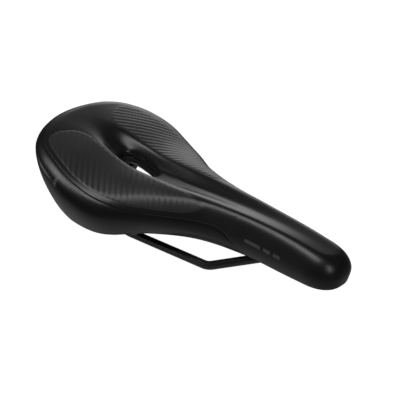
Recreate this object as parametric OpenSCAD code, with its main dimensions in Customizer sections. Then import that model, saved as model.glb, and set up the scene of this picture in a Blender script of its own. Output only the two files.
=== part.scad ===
// Short off-road bicycle saddle: padded cover on a nylon shell, one bent 7 mm rail.
// Frame: +X to the nose, +Y to the rider's left, +Z up; the origin is midway between
// the two straight rail runs that a seatpost clamp grips.

/* [Seat] */
// Overall width across the wings
seat_width = 140; // [132:1:146]
// How far the nose tip reaches ahead of the clamp centre
nose_reach = 153; // [146:1:156]
// How far the tail's sides reach behind the clamp centre
tail_reach = 124; // [120:1:126]
// Extra rearward bulge in the middle of the tail
tail_bulge = 6; // [0:1:8]
// Height of the crest line above the rails, added everywhere
lift = 0; // [-2:0.5:3]
// Thickness of the cover and the side band
cover_t = 1.2; // [1:0.1:1.4]
// Thickness of the textured grip panels
panel_t = 0.7; // [0.5:0.1:0.8]

/* [Relief opening] */
// Front end of the opening
hole_front = -29; // [-34:1:-26]
// Rear end of the opening
hole_rear = -68; // [-68:1:-62]
// Half width of the opening near its rear
hole_half = 11.5; // [9:0.5:12]
// Depth of the centre channel at the opening
channel_depth = 8; // [5:0.5:9]

/* [Shell] */
// Thickness of the nylon shell
shell_t = 2.4; // [2:0.1:2.6]
// Foam thickness above the shell at the tail, thinner round the opening
foam_t = 19; // [18:0.5:21]

/* [Rail] */
// Diameter of the rail rod
rail_d = 7; // [7]
// Distance between the centres of the two clamp runs
rail_gauge = 44; // [44]
// Length of each straight clamp run
run_len = 76; // [70:1:80]
// Inner bends of the rail, radius to the rod's centre
bend_r = 18; // [14:1:20]

/* [Hidden] */

$fn = 48;
cover_black = "#1d1d1f";
panel_black = "#26272a";
band_black = "#161617";
foam_grey = "#5a5c60";
gel_blue = "#3c5a6e";
nylon_black = "#222325";
steel_black = "#2a2b2d";
zinc = "#b9bcc0";
brass = "#b08d4a";

// Shape lines along X. Each row is [x, value], joined by smooth curves.
// Half width as a share of the seat's half width.
WIDTH = [[-108, 0.95], [-90, 0.975], [-65, 1], [-35, 0.9], [-5, 0.63], [30, 0.417],
    [70, 0.325], [110, 0.296], [145, 0.296]];
// Height of the crest that runs along each side of the channel.
CREST_Z = [[-120, 76.5], [-85, 67], [-45, 55.5], [-5, 52.7], [35, 51.4], [75, 48.9],
    [115, 44], [160, 34.7]];
// Distance of the crest from the middle.
CREST_Y = [[-125, 14], [-100, 15], [-60, 16.5], [-20, 16.5], [10, 16], [40, 13.5],
    [70, 11.5], [110, 9.5], [150, 7]];
// Depth of the channel as a share of its depth at the opening.
CHANNEL = [[-130, 0], [-104, 0.02], [-88, 0.22], [-74, 0.75], [-56, 1], [-30, 0.93],
    [0, 0.74], [30, 0.48], [60, 0.27], [90, 0.13], [120, 0.04], [150, 0]];
// Width of the channel's wall as a share of the crest's distance from the middle.
WALL = [[-120, 1], [-90, 1], [-70, 0.72], [-50, 0.55], [-25, 0.65], [10, 0.88], [50, 1],
    [150, 1]];
// Fall of the wing top from the crest to its edge.
FALL = [[-120, 4.9], [-80, 7], [-35, 13], [10, 10], [70, 7], [150, 4.8]];
// Width and height of the rounded edge.
EDGE_W = [[-120, 13], [-80, 13.3], [-35, 13.2], [10, 11.5], [70, 11.5], [150, 13.2]];
EDGE_H = [[-120, 5], [-80, 7.3], [-35, 10.7], [10, 12.8], [70, 13], [150, 12]];
// Height of the lower rim, and how far it is tucked in under the edge.
RIM_Z = [[-120, 25], [-85, 18], [-45, 12], [-5, 17.2], [35, 20.4], [75, 20.6], [115, 17.3],
    [160, 15.2]];
TUCK = [[-120, 13.5], [-80, 13.5], [-35, 10.5], [10, 7.5], [70, 3.6], [110, 2.6], [150, 2.2]];
// Foam above the shell as a share of its thickness at the tail.
FOAM = [[-120, 1], [-95, 0.98], [-78, 0.84], [-62, 0.71], [-46, 0.67], [-28, 0.69], [0, 0.87],
    [30, 0.95], [75, 0.78], [110, 0.66], [150, 0.6]];
// Where the seam of the side band lies: 0 is the rim, 1 and 2 are the two ends of the
// rounded edge.
SEAM = [[-131, 1.45], [-122, 1.52], [-110, 1.68], [-96, 1.82], [-80, 1.84], [-62, 1.76], [-32, 1.6],
    [-15, 1.38], [5, 1.3], [48, 1.3], [58, 1.22], [64, 1.05], [69, 0.7], [73, 0.15]];

nose_len = 24.4;
tail_len = 54;
nose_x0 = nose_reach - nose_len;
tail_x0 = tail_len - tail_reach;
half_width = seat_width / 2;

// Smooth curve through a line's rows.
function seg(t, x, i = 0) = i >= len(t) - 2 || x < t[i + 1][0] ? i : seg(t, x, i + 1);
function slope(t, i) = let (a = max(i - 1, 0), b = min(i + 1, len(t) - 1))
    (t[b][1] - t[a][1]) / (t[b][0] - t[a][0]);
function at(t, x) = let (i = seg(t, x), h = t[i + 1][0] - t[i][0],
    u = min(1, max(0, (x - t[i][0]) / h)))
    (1 + 2 * u) * (1 - u) * (1 - u) * t[i][1] + u * (1 - u) * (1 - u) * h * slope(t, i)
    + u * u * (3 - 2 * u) * t[i + 1][1] - u * u * (1 - u) * h * slope(t, i + 1);
function unit(v) = v / norm(v);
function ease(u) = let (c = min(1, max(0, u))) c * c * (3 - 2 * c);

// Plan outline: the width line closed by a rounded cap at each end.
function cap(u, p) = u <= 0 ? 1 : u >= 1 ? 0 : pow(1 - pow(u, p), 1 / p);
function half_w(x) = half_width * at(WIDTH, x) * cap((x - nose_x0) / nose_len, 2.4)
    * cap((tail_x0 - x) / tail_len, 2.75);
function bulge(x, w) = x > tail_x0 ? 0 :
    tail_bulge * pow((tail_x0 - x) / tail_len, 2) * pow(cos(90 * min(1, w / 45)), 2);

// Relief opening: a long rounded slot, wider at its rear.
hole_mid = (hole_front + hole_rear) / 2;
hole_len = hole_front - hole_rear;
function hole_w(x) = let (v = 2 * (x - hole_mid) / hole_len)
    abs(v) >= 0.9999 ? 0 : hole_half * (1 - 0.14 * (v + 1)) * pow(1 - pow(abs(v), 2.4), 1 / 2.4);

// Stations round one half of the outline, from the nose tip to the middle of the tail.
nose_n = 8;
front_n = 14;
hole_n = 12;
tail_n = 16;
last = nose_n + front_n + hole_n + 1 + tail_n;
function station_x(k) =
    k <= nose_n ? nose_x0 + nose_len * cos(90 * k / nose_n) :
    k <= nose_n + front_n ? nose_x0 + (hole_front - nose_x0) * (k - nose_n) / front_n :
    k <= nose_n + front_n + hole_n ?
        hole_mid + hole_len / 2 * cos(180 * (k - nose_n - front_n) / hole_n) :
    tail_x0 - tail_len * sin(90 * (k - last + tail_n) / tail_n);
// The inner end of each section lies on the middle line or on the opening's edge.
function spine_x(x) = x > nose_x0 ? nose_x0 + 0.45 * (x - nose_x0) :
    x < tail_x0 ? tail_x0 + 0.5 * (x - tail_x0) : x;

// One station is [outer point, inward direction, length, station's own x].
function station(k) = let (x = station_x(k), w = k == 0 || k == last ? 0 : half_w(x),
    p = [x - bulge(x, w), -w], sx = spine_x(x - bulge(x, w)), q = [sx, -hole_w(sx)],
    d = norm(q - p)) [p, (q - p) / d, d, p[0]];
ST = [for (k = [0:last]) station(k)];
has_hole = [for (k = [0:last]) hole_w(spine_x(ST[k][3])) > 0.01];

// Height of the seat's top over a point of the plan, before its edge is rounded.
function top_z(x, y) = let (yc = at(CREST_Y, x), w = max(half_width * at(WIDTH, x), yc + 3),
    v = min(1.2, max(0, (abs(y) - yc) / (w - yc))), s = ease((1 - abs(y) / yc) / at(WALL, x)))
    at(CREST_Z, x) + lift - at(FALL, x) * v * v - channel_depth * at(CHANNEL, x) * s;

// Outer section of a station: t runs 0 to 1 up the side, to 2 round the edge, to 3 inward.
function plan(k, r) = ST[k][0] + ST[k][1] * r;
function edge_w(k) = min(at(EDGE_W, ST[k][3]), 0.8 * ST[k][2]);
function edge_h(k) = at(EDGE_H, ST[k][3]);
function rim_z(k) = at(RIM_Z, ST[k][3]);
function tuck(k) = at(TUCK, ST[k][3]);
function over(k, r) = let (p = plan(k, r)) top_z(p[0], p[1]);
function section(k, t) =
    t <= 1 ? [tuck(k) * pow(1 - max(t, 0), 1.5), rim_z(k) + (over(k, 0) - edge_h(k) - rim_z(k)) * t] :
    t <= 2 ? let (r = edge_w(k) * (1 - cos(90 * (t - 1))))
        [r, over(k, r) - edge_h(k) * (1 - sin(90 * (t - 1)))] :
    let (r = edge_w(k) + (ST[k][2] - edge_w(k)) * (t - 2)) [r, over(k, r)];
// The same section moved inward by a depth, square to its own line.
function inward(k, t) = t > 2.999 ? [0, -1] : t < 0.001 ? [1, 0] :
    let (a = section(k, max(t - 0.02, 0)), b = section(k, min(t + 0.02, 3)), d = unit(b - a))
    [d[1], -d[0]];
function deep(k, t, depth) = section(k, t) + inward(k, t) * depth;
function place(k, rz) = let (p = plan(k, rz[0])) [p[0], p[1], rz[1]];
function skin(k, t, depth) = place(k, deep(k, t, depth));

// Shell section: an arch from the rim to the middle line, u from 0 to 1.
side_gap = 3.4;
ARCH = [[-30, 2.5], [70, 4.5]];
function shell_top(k) = at(CREST_Z, plan(k, ST[k][2])[0]) + lift
    - foam_t * at(FOAM, plan(k, ST[k][2])[0]);
function arch(k, u) = let (r0 = tuck(k) + side_gap, z0 = rim_z(k) + 0.5)
    [r0 + (ST[k][2] - r0) * u, z0 + (shell_top(k) - z0) * cap(1 - u, at(ARCH, ST[k][3]))];
function arch_in(k, u) = u > 0.999 ? [0, -1] : u < 0.001 ? [1, 0] :
    let (d = unit(arch(k, min(u + 0.01, 1)) - arch(k, max(u - 0.01, 0)))) [d[1], -d[0]];
function shell_skin(k, u, depth) = place(k, arch(k, u) + arch_in(k, u) * depth);

// A full ring counts its places m from the nose along the right side, round the tail and
// back along the left side.
ring = 2 * last;
function half_of(m) = m <= last ? m : ring - m;
function flip(m, p) = m <= last ? p : [p[0], -p[1], p[2]];

// Triangles of one four-sided patch.
function two(a, b, c, d) = [[a, b, c], [a, c, d]];
// Closed layer over the full ring: rows outer[j] and inner[j] from the rim to the middle.
module ring_layer(outer, inner) {
    rows = len(outer[0]) - 1;
    n = rows + 1;
    half = ring * n;
    pts = [for (side = [outer, inner]) for (m = [0:ring - 1]) for (j = [0:rows])
        flip(m, side[half_of(m)][j])];
    function id(m, j) = let (q = m % ring)
        (j == rows && q > last && !has_hole[ring - q] ? ring - q : q) * n + j;
    polyhedron(points = pts, convexity = 8, faces = [for (m = [0:ring - 1]) each concat(
        [for (j = [0:rows - 1]) each two(id(m, j), id(m + 1, j), id(m + 1, j + 1), id(m, j + 1))],
        [for (j = [0:rows - 1]) each two(half + id(m, j + 1), half + id(m + 1, j + 1),
            half + id(m + 1, j), half + id(m, j))],
        two(id(m + 1, 0), id(m, 0), half + id(m, 0), half + id(m + 1, 0)),
        has_hole[half_of(m)] || has_hole[half_of(m + 1)] ?
            two(id(m, rows), id(m + 1, rows), half + id(m + 1, rows), half + id(m, rows)) : [])]);
}
// Closed layer over an open patch of rows.
module patch_layer(outer, inner) {
    cols = len(outer) - 1;
    rows = len(outer[0]) - 1;
    n = rows + 1;
    half = (cols + 1) * n;
    pts = [for (side = [outer, inner]) for (col = side) each col];
    function id(m, j) = m * n + j;
    polyhedron(points = pts, convexity = 8, faces = concat(
        [for (m = [0:cols - 1]) for (j = [0:rows - 1])
            each two(id(m, j), id(m + 1, j), id(m + 1, j + 1), id(m, j + 1))],
        [for (m = [0:cols - 1]) for (j = [0:rows - 1]) each two(half + id(m, j + 1),
            half + id(m + 1, j + 1), half + id(m + 1, j), half + id(m, j))],
        [for (m = [0:cols - 1]) each two(id(m + 1, 0), id(m, 0), half + id(m, 0), half + id(m + 1, 0))],
        [for (m = [0:cols - 1]) each two(id(m, rows), id(m + 1, rows), half + id(m + 1, rows),
            half + id(m, rows))],
        [for (j = [0:rows - 1]) each two(id(0, j), id(0, j + 1), half + id(0, j + 1), half + id(0, j))],
        [for (j = [0:rows - 1]) each two(id(cols, j + 1), id(cols, j), half + id(cols, j),
            half + id(cols, j + 1))]));
}

// Rows of the cover: from the seam or the rim round the edge, then inward to the middle.
side_rows = 2;
round_rows = 5;
edge_rows = side_rows + round_rows;
top_rows = 8;
rows_all = edge_rows + top_rows;
function seam_t(k) = ST[k][3] > 73 ? 0 : at(SEAM, ST[k][3]);
function row_t(low, j) = j > edge_rows ? 2 + (j - edge_rows) / top_rows :
    low >= 1 ? low + (2 - low) * j / edge_rows :
    j <= side_rows ? low + (1 - low) * j / side_rows : 1 + (j - side_rows) / round_rows;
band_start = len([for (k = [0:last]) if (ST[k][3] > 73) k]);

module top_cover() color(cover_black)
    ring_layer([for (k = [0:last]) [for (j = [0:rows_all]) skin(k, row_t(seam_t(k), j), 0)]],
        [for (k = [0:last]) [for (j = [0:rows_all]) skin(k, row_t(seam_t(k), j), cover_t)]]);

// The band stops just short of the seam, which leaves the seam as a fine groove.
band_rows = 5;
function band(depth) = [for (m = [band_start:ring - band_start]) let (k = half_of(m))
    [for (j = [0:band_rows]) flip(m, skin(k, max(seam_t(k) - 0.03, 0.04) * j / band_rows, depth))]];
module side_band() color(band_black) patch_layer(band(0), band(cover_t));

// The cover's edge folded under the rim of the shell.
hem_in = side_gap + shell_t;
hem_t = 0.9;
hem_gap = 0.1;
module cover_hem() color(band_black) {
    pts = [for (m = [0:ring - 1]) let (k = half_of(m), z = rim_z(k) - hem_gap,
        a = tuck(k) + 0.3, b = tuck(k) + hem_in) each [flip(m, place(k, [a, z])),
        flip(m, place(k, [b, z])), flip(m, place(k, [b, z - hem_t])), flip(m, place(k, [a, z - hem_t]))]];
    polyhedron(points = pts, convexity = 8, faces = [for (m = [0:ring - 1]) for (c = [0:3])
        let (n = (m + 1) % ring, d = (c + 1) % 4)
        each two(4 * m + c, 4 * n + c, 4 * n + d, 4 * m + d)]);
}

// Textured zones on the wings, laid on the cover.
panel_first = nose_n + 7;
panel_last = last - 6;
panel_rows = 7;
panel_gap = 0.2;
function panel_low(k) = let (x = ST[k][3]) x > 49 ? 1.68 : seam_t(k) + 0.1 + 0.28 * ease((x - 20) / 30);
function panel_high(k) = let (d = ST[k][2], y = at(CREST_Y, ST[k][3]) + 1.5 - hole_w(ST[k][3]),
    full = 2 + max(0, (d - y - edge_w(k)) / (d - edge_w(k))))
    panel_low(k) + 0.06 + (full - panel_low(k) - 0.06) * ease((49 - ST[k][3]) / 30);
function panel(depth) = [for (k = [panel_first:panel_last]) [for (j = [0:panel_rows])
    skin(k, panel_low(k) + (panel_high(k) - panel_low(k)) * j / panel_rows, depth)]];
module grip_panel_right() color(panel_black) patch_layer(panel(-panel_t), panel(-panel_gap));
module grip_panel_left() color(panel_black) mirror([0, 1, 0])
    patch_layer(panel(-panel_t), panel(-panel_gap));

// Foam between the cover and the shell, with a shallow pocket under each wing's top.
foam_gap = 0.4;
inlay_t = 6;
inlay_low = 1.75;
inlay_high = 2.7;
inlay_first = nose_n + front_n + 2;
inlay_last = last - 6;
function bump(u) = u <= 0 || u >= 1 ? 0 : pow(sin(180 * u), 1.2);
function along(k) = (k - inlay_first) / (inlay_last - inlay_first);
function inlay_depth(k, t) = inlay_t * bump(along(k)) * bump((t - inlay_low) / (inlay_high - inlay_low));
// The pocket reaches a little past the pad on every side.
function pocket(k, t) = k < inlay_first - 1 || k > inlay_last + 1 ? 0 :
    t < inlay_low - 0.2 || t > inlay_high + 0.15 ? 0 : inlay_depth(k, t) + 0.8;
module foam_pad() color(foam_grey)
    ring_layer([for (k = [0:last]) [for (j = [0:rows_all]) let (t = row_t(0, j))
            skin(k, t, cover_t + foam_gap + pocket(k, t))]],
        [for (k = [0:last]) [for (j = [0:rows_all]) shell_skin(k, pow(j / rows_all, 1.3), -foam_gap)]]);

// Softer pads in the pockets, under the sit bones.
inlay_rows = 6;
function inlay(under) = [for (k = [inlay_first:inlay_last]) [for (j = [0:inlay_rows])
    let (t = inlay_low + (inlay_high - inlay_low) * j / inlay_rows)
    skin(k, t, cover_t + 0.5 + (under ? max(0.25, inlay_depth(k, t)) : 0))]];
module comfort_inlay_right() color(gel_blue) patch_layer(inlay(false), inlay(true));
module comfort_inlay_left() color(gel_blue) mirror([0, 1, 0]) patch_layer(inlay(false), inlay(true));

// Nylon shell, open at the relief opening.
shell_rows = 7;
function shell_u_at(j) = pow(j / shell_rows, 1.3);
module base_shell() color(nylon_black)
    ring_layer([for (k = [0:last]) [for (j = [0:shell_rows]) shell_skin(k, shell_u_at(j), 0)]],
        [for (k = [0:last]) [for (j = [0:shell_rows]) shell_skin(k, shell_u_at(j), shell_t)]]);

// Sleeve that lines the opening from the channel down through the shell.
liner_t = 1.2;
liner_n = 20;
function liner_point(a, inset, z_of) = let (v = cos(a), x = hole_mid + hole_len / 2 * v,
    s = (hole_len / 2 - inset) / (hole_len / 2), w = (hole_half - inset) / hole_half,
    y = hole_w(x) * w * (a < 180 ? 1 : -1)) [hole_mid + hole_len / 2 * v * s, y, z_of];
function liner_top(x) = top_z(x, 0) - 0.4;
function liner_foot(x) = at(CREST_Z, x) + lift - foam_t * at(FOAM, x) - shell_t - 1.2;
module relief_liner() color(nylon_black) {
    ends = [for (i = [0:2 * liner_n - 1]) 180 * i / liner_n];
    pts = [for (a = ends) let (x = hole_mid + hole_len / 2 * cos(a)) each [
        liner_point(a, 0.25, liner_top(x)), liner_point(a, 0.25 + liner_t, liner_top(x)),
        liner_point(a, 0.25 + liner_t, liner_foot(x)), liner_point(a, 0.25, liner_foot(x))]];
    polyhedron(points = pts, convexity = 6, faces = [for (m = [0:2 * liner_n - 1]) for (c = [0:3])
        let (n = (m + 1) % (2 * liner_n), d = (c + 1) % 4)
        each two(4 * m + d, 4 * n + d, 4 * n + c, 4 * m + c)]);
}

// Rail: straight runs and round bends along a list of [x, y, z, bend radius].
rail_r = rail_d / 2;
nose_leg = 7.6;
nose_rail_z = 19.2;
front_dir = unit([1, 0.31, 0.41]);
rear_dir = unit([-60, -3, 37]);
function bend_run(a, b, r) = r * tan(acos(a * b) / 2);
front_corner = run_len / 2 + bend_run([1, 0, 0], front_dir, bend_r);
rear_corner = run_len / 2 + bend_run([-1, 0, 0], rear_dir, bend_r);
rear_rod = 62;
front_rod = nose_rail_z / front_dir[2];
nose_turn_x = 122;
half_path = [
    concat([-rear_corner, -rail_gauge / 2, 0] + rear_dir * rear_rod, 0),
    [-rear_corner, -rail_gauge / 2, 0, bend_r],
    [front_corner, -rail_gauge / 2, 0, bend_r],
    [front_corner + front_dir[0] * front_rod, -nose_leg, nose_rail_z, bend_r],
    [nose_turn_x, -nose_leg, nose_rail_z, 0]];
function spot(p) = [p[0], p[1], p[2]];

module straight(a, b, r) translate(a)
    rotate([0, acos((b - a)[2] / norm(b - a)), atan2((b - a)[1], (b - a)[0])])
        cylinder(r = r, h = norm(b - a));
module rod(path, r) {
    n = len(path) - 1;
    dirs = [for (i = [0:n - 1]) unit(spot(path[i + 1]) - spot(path[i]))];
    runs = [for (i = [0:n]) i == 0 || i == n ? 0 : bend_run(dirs[i - 1], dirs[i], path[i][3])];
    for (i = [0:n - 1])
        straight(spot(path[i]) + dirs[i] * runs[i], spot(path[i + 1]) - dirs[i] * runs[i + 1], r);
    for (i = [1:n - 1]) {
        a = dirs[i - 1];
        b = dirs[i];
        bend = path[i][3];
        centre = spot(path[i]) + unit(b - a) * sqrt(bend * bend + runs[i] * runs[i]);
        s = unit(spot(path[i]) - a * runs[i] - centre);
        z = unit(cross(a, b));
        multmatrix([[s[0], a[0], z[0], centre[0]], [s[1], a[1], z[1], centre[1]],
            [s[2], a[2], z[2], centre[2]], [0, 0, 0, 1]]) elbow(bend, acos(a * b), r);
    }
}
// A bend is a hair slimmer than the rod and laps a little into the runs at its ends.
bend_slim = 0.02;
bend_lap = 0.3;
module elbow(bend, angle, r) rotate([0, 0, -bend_lap / bend * 180 / PI])
    rotate_extrude(angle = angle + 2 * bend_lap / bend * 180 / PI)
        translate([bend, 0]) circle(r = r - bend_slim);
// The loop that joins the two legs in the nose.
module nose_loop(r) translate([nose_turn_x, 0, nose_rail_z]) rotate([0, 0, -90])
    elbow(nose_leg, 180, r);
module both_sides() {
    children();
    mirror([0, 1, 0]) children();
}
module rail() color(steel_black) {
    both_sides() rod(half_path, rail_r);
    nose_loop(rail_r);
}

// Rear sockets: each holds one rail end between an upper block and a clip. A narrower
// mount on the block reaches up to the shell.
rail_end = spot(half_path[0]);
block_l = 18;
block_w = 20.2;
tower_h = 7.4;
mount_h = 14.4;
clip_h = 7.5;
screw_y = 6.9;
fit_gap = 0.05;
// Local frame of the right socket: +X along the rail to its end, +Z up and square to it.
side_dir = unit(cross([0, 0, 1], rear_dir));
up_dir = cross(rear_dir, side_dir);
module at_rear() multmatrix([
    [rear_dir[0], side_dir[0], up_dir[0], rail_end[0]],
    [rear_dir[1], side_dir[1], up_dir[1], rail_end[1]],
    [rear_dir[2], side_dir[2], up_dir[2], rail_end[2]], [0, 0, 0, 1]]) children();
// Block with rounded corners, from x0 to x1 and z0 to z1.
module block(x0, x1, w, z0, z1, r) translate([0, 0, z0]) linear_extrude(z1 - z0)
    translate([x0 + r, -w / 2 + r]) rounded_outline(x1 - x0 - 2 * r, w - 2 * r, r);
module rounded_outline(a, b, r) {
    translate([0, -r]) square([a, b + 2 * r]);
    translate([-r, 0]) square([a + 2 * r, b]);
    for (x = [0, a]) for (y = [0, b]) translate([x, y]) circle(r = r);
}
screw_x = [-11.5, -3];
insert_h = 5.2;
module rear_socket() color(nylon_black) at_rear() difference() {
    union() {
        block(-block_l + 2, 2, block_w, 0.15, tower_h, 3);
        translate([0, -3.5, 0]) block(-block_l + 4, -1, 11, tower_h - 1, mount_h, 3);
    }
    translate([-block_l - 1, 0, 0]) rotate([0, 90, 0]) cylinder(r = rail_r + fit_gap, h = block_l + 2);
    for (x = screw_x) for (y = [-screw_y, screw_y])
        translate([x, y, -1]) cylinder(r = 2.85, h = insert_h + 1.5, $fn = 32);
}
module rear_clip() color(nylon_black) at_rear() difference() {
    block(-block_l + 2, 2, block_w, -clip_h, -0.15, 3);
    translate([-block_l - 1, 0, 0]) rotate([0, 90, 0]) cylinder(r = rail_r + fit_gap, h = block_l + 2);
    for (x = screw_x) for (y = [-screw_y, screw_y]) translate([x, y, -clip_h - 1]) {
        cylinder(r = 1.75, h = 10, $fn = 32);
        cylinder(r = 3.1, h = 4, $fn = 32);
    }
}
// A cap screw with a hexagon socket, its head's seat at the origin, shaft up +Z.
module cap_screw(shaft) difference() {
    union() {
        translate([0, 0, -2.8]) cylinder(r = 2.75, h = 2.8, $fn = 32);
        cylinder(r = 1.5, h = shaft, $fn = 32);
    }
    translate([0, 0, -3]) cylinder(r = 1.45, h = 1.8, $fn = 6);
}
module insert(h) difference() {
    cylinder(r = 2.8, h = h, $fn = 32);
    translate([0, 0, -1]) cylinder(r = 1.55, h = h + 2, $fn = 32);
}
module rear_socket_right() rear_socket();
module rear_socket_left() mirror([0, 1, 0]) rear_socket();
module rear_clip_right() rear_clip();
module rear_clip_left() mirror([0, 1, 0]) rear_clip();
module rear_clip_screws() color(zinc) both_sides() at_rear() for (x = screw_x)
    for (y = [-screw_y, screw_y]) translate([x, y, -clip_h + 3])
        cap_screw(clip_h - 3 + insert_h);
module rear_clip_inserts() color(brass) both_sides() at_rear() for (x = screw_x)
    for (y = [-screw_y, screw_y]) translate([x, y, 0.3]) insert(insert_h);

// Nose socket: holds the rail's front loop between an upper block and a clip.
nose_block_x0 = 98;
nose_block_x1 = 135;
nose_block_w = 23.4;
nose_screws = [104, 116];
nose_top = 5;
nose_foot = 6.2;
groove_path = [half_path[3] - [8, 0, 0, half_path[3][3]], half_path[4]];
module nose_grooves() {
    both_sides() rod(groove_path, rail_r + fit_gap);
    nose_loop(rail_r + fit_gap);
}
module nose_socket() color(nylon_black) difference() {
    block(nose_block_x0, nose_block_x1, nose_block_w, nose_rail_z + 0.15, nose_rail_z + nose_top, 8);
    nose_grooves();
    for (x = nose_screws) translate([x, 0, nose_rail_z - 1]) cylinder(r = 2.85, h = 5, $fn = 32);
}
module nose_clip() color(nylon_black) difference() {
    block(nose_block_x0, nose_block_x1, nose_block_w, nose_rail_z - nose_foot, nose_rail_z - 0.15, 8);
    nose_grooves();
    for (x = nose_screws) translate([x, 0, nose_rail_z - nose_foot - 1]) {
        cylinder(r = 1.75, h = 9, $fn = 32);
        cylinder(r = 3.1, h = 4, $fn = 32);
    }
}
module nose_clip_screws() color(zinc) for (x = nose_screws)
    translate([x, 0, nose_rail_z - nose_foot + 3]) cap_screw(6);
module nose_clip_inserts() color(brass) for (x = nose_screws)
    translate([x, 0, nose_rail_z + 0.3]) insert(3.5);

// Staples that hold the hem, one at every third station, each along the hem.
staple_step = 3;
function staple_spot(m) = let (k = half_of(m % ring))
    flip(m % ring, place(k, [tuck(k) + 3, rim_z(k) - hem_gap - hem_t - 0.4]));
module hem_staples() color(zinc) for (m = [staple_step:staple_step:ring - staple_step])
    if (abs(m - last) > 1) {
        a = staple_spot(m);
        d = staple_spot(m + 1) - staple_spot(m - 1);
        translate(a) rotate([0, -atan2(d[2], norm([d[0], d[1]])), atan2(d[1], d[0])])
            translate([-3, -0.45, -0.25]) cube([6, 0.9, 0.5]);
    }

top_cover();
side_band();
cover_hem();
grip_panel_right();
grip_panel_left();
foam_pad();
comfort_inlay_right();
comfort_inlay_left();
base_shell();
relief_liner();
rail();
rear_socket_right();
rear_socket_left();
rear_clip_right();
rear_clip_left();
rear_clip_screws();
rear_clip_inserts();
nose_socket();
nose_clip();
nose_clip_screws();
nose_clip_inserts();
hem_staples();
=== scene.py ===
"""Short off-road bicycle saddle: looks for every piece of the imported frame.

Sizes are millimetres in the classes below and metres in the scene. +X points to the
nose, +Y to the rider's left and +Z up.
"""
import logging
import math
from collections.abc import Callable, Iterator
from contextlib import contextmanager
from dataclasses import dataclass, field
from enum import Enum

import bpy
import numpy as np
from mathutils import Matrix, Vector


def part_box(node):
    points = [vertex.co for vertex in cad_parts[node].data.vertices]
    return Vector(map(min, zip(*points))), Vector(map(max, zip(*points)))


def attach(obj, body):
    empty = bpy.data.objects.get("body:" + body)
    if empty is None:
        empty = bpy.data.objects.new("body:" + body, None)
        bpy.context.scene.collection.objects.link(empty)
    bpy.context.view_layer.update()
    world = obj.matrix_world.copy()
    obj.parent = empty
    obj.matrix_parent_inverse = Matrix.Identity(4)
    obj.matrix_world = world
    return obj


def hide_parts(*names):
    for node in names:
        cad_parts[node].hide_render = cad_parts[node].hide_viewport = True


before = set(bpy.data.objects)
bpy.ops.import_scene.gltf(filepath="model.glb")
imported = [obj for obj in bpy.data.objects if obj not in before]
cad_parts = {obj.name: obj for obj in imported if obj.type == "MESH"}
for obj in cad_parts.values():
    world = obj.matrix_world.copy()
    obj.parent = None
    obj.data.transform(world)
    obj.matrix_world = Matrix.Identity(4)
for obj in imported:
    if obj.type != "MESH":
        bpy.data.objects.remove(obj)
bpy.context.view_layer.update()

log = logging.getLogger("saddle")
Array = np.ndarray
Pair = tuple[float, float]
Triple = tuple[float, float, float]
Quad = tuple[float, float, float, float]
Counts = tuple[int, int, int, int]

MM = 0.001  # metres
BODY = "root"
MIRROR_Y = np.array([1, -1, 1])
AT_END = 0.001  # a place this near the end of a line counts as its end
MERGE = 1e-6  # metres between points that become one
TINY = 1e-7  # metres: the width of the middle plane, and of an edge without length
ARCH_CROWD = 1.3  # crowds the rows of an arch towards its rim
MIX_LOW, MIX_HIGH, MIX_COLOR = 6, 7, 2  # colour sockets of a Mix node


# -------- shape of the seat
@dataclass(frozen=True)
class ShapeLine:
    """A smooth curve through rows of [x, value], level beyond its ends."""

    rows: tuple[tuple[float, float], ...]

    def at(self, x: Array) -> Array:
        """Reads the line.

        Args:
            x: Places along the seat, in mm.

        Returns:
            The line's value at each place.
        """
        px, pv = np.array(self.rows).T
        n = len(px)
        ahead, back = np.minimum(np.arange(n) + 1, n - 1), np.maximum(np.arange(n) - 1, 0)
        slope = (pv[ahead] - pv[back]) / (px[ahead] - px[back])
        i = np.clip(np.searchsorted(px, x, side="right") - 1, 0, n - 2)
        h = px[i + 1] - px[i]
        u = np.clip((x - px[i]) / h, 0, 1)
        return ((1 + 2 * u) * (1 - u) ** 2 * pv[i] + u * (1 - u) ** 2 * h * slope[i]
                + u * u * (3 - 2 * u) * pv[i + 1] - u * u * (1 - u) * h * slope[i + 1])


def ease(u: Array) -> Array:
    """Smooth step from 0 to 1 as u goes from 0 to 1."""
    c = np.clip(u, 0, 1)
    return c * c * (3 - 2 * c)


def cap(u: Array, power: float) -> Array:
    """Rounded end: 1 before u = 0, 0 after u = 1, a superellipse between."""
    c = np.clip(u, 0, 1)
    return (1 - c ** power) ** (1 / power)


@dataclass(frozen=True)
class Columns:
    """Cross-sections of one half of the seat, each along a line from the outline inward."""

    x: Array
    start: Array
    inward: Array
    length: Array

    def only(self, keep: Array) -> "Columns":
        """The columns that a mask keeps."""
        return Columns(self.x[keep], self.start[keep], self.inward[keep], self.length[keep])


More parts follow.
